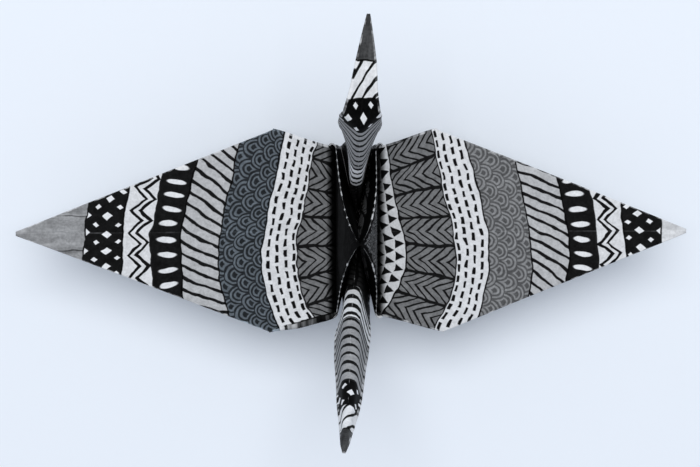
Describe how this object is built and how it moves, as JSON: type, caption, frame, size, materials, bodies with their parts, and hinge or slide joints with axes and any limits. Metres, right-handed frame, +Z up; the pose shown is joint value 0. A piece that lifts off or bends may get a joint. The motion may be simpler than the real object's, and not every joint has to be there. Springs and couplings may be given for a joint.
{
  "type": "origami crane",
  "caption": "Folded paper crane with level wings, a beaked neck and a raised tail, standing on the corners of its hollow body.",
  "frame": {"origin": "on the table, midway between the four lowest corners of the body", "axes": "+X along the wings, +Y towards the head, +Z up"},
  "size_m": [0.066, 0.0384, 0.0356],
  "materials": {
    "patterned_paper": "uncoated origami paper printed black, grey and white, with worn white creases"
  },
  "bodies": {
    "root": {"folded_sheet": "patterned_paper"}
  },
  "joints": []
}
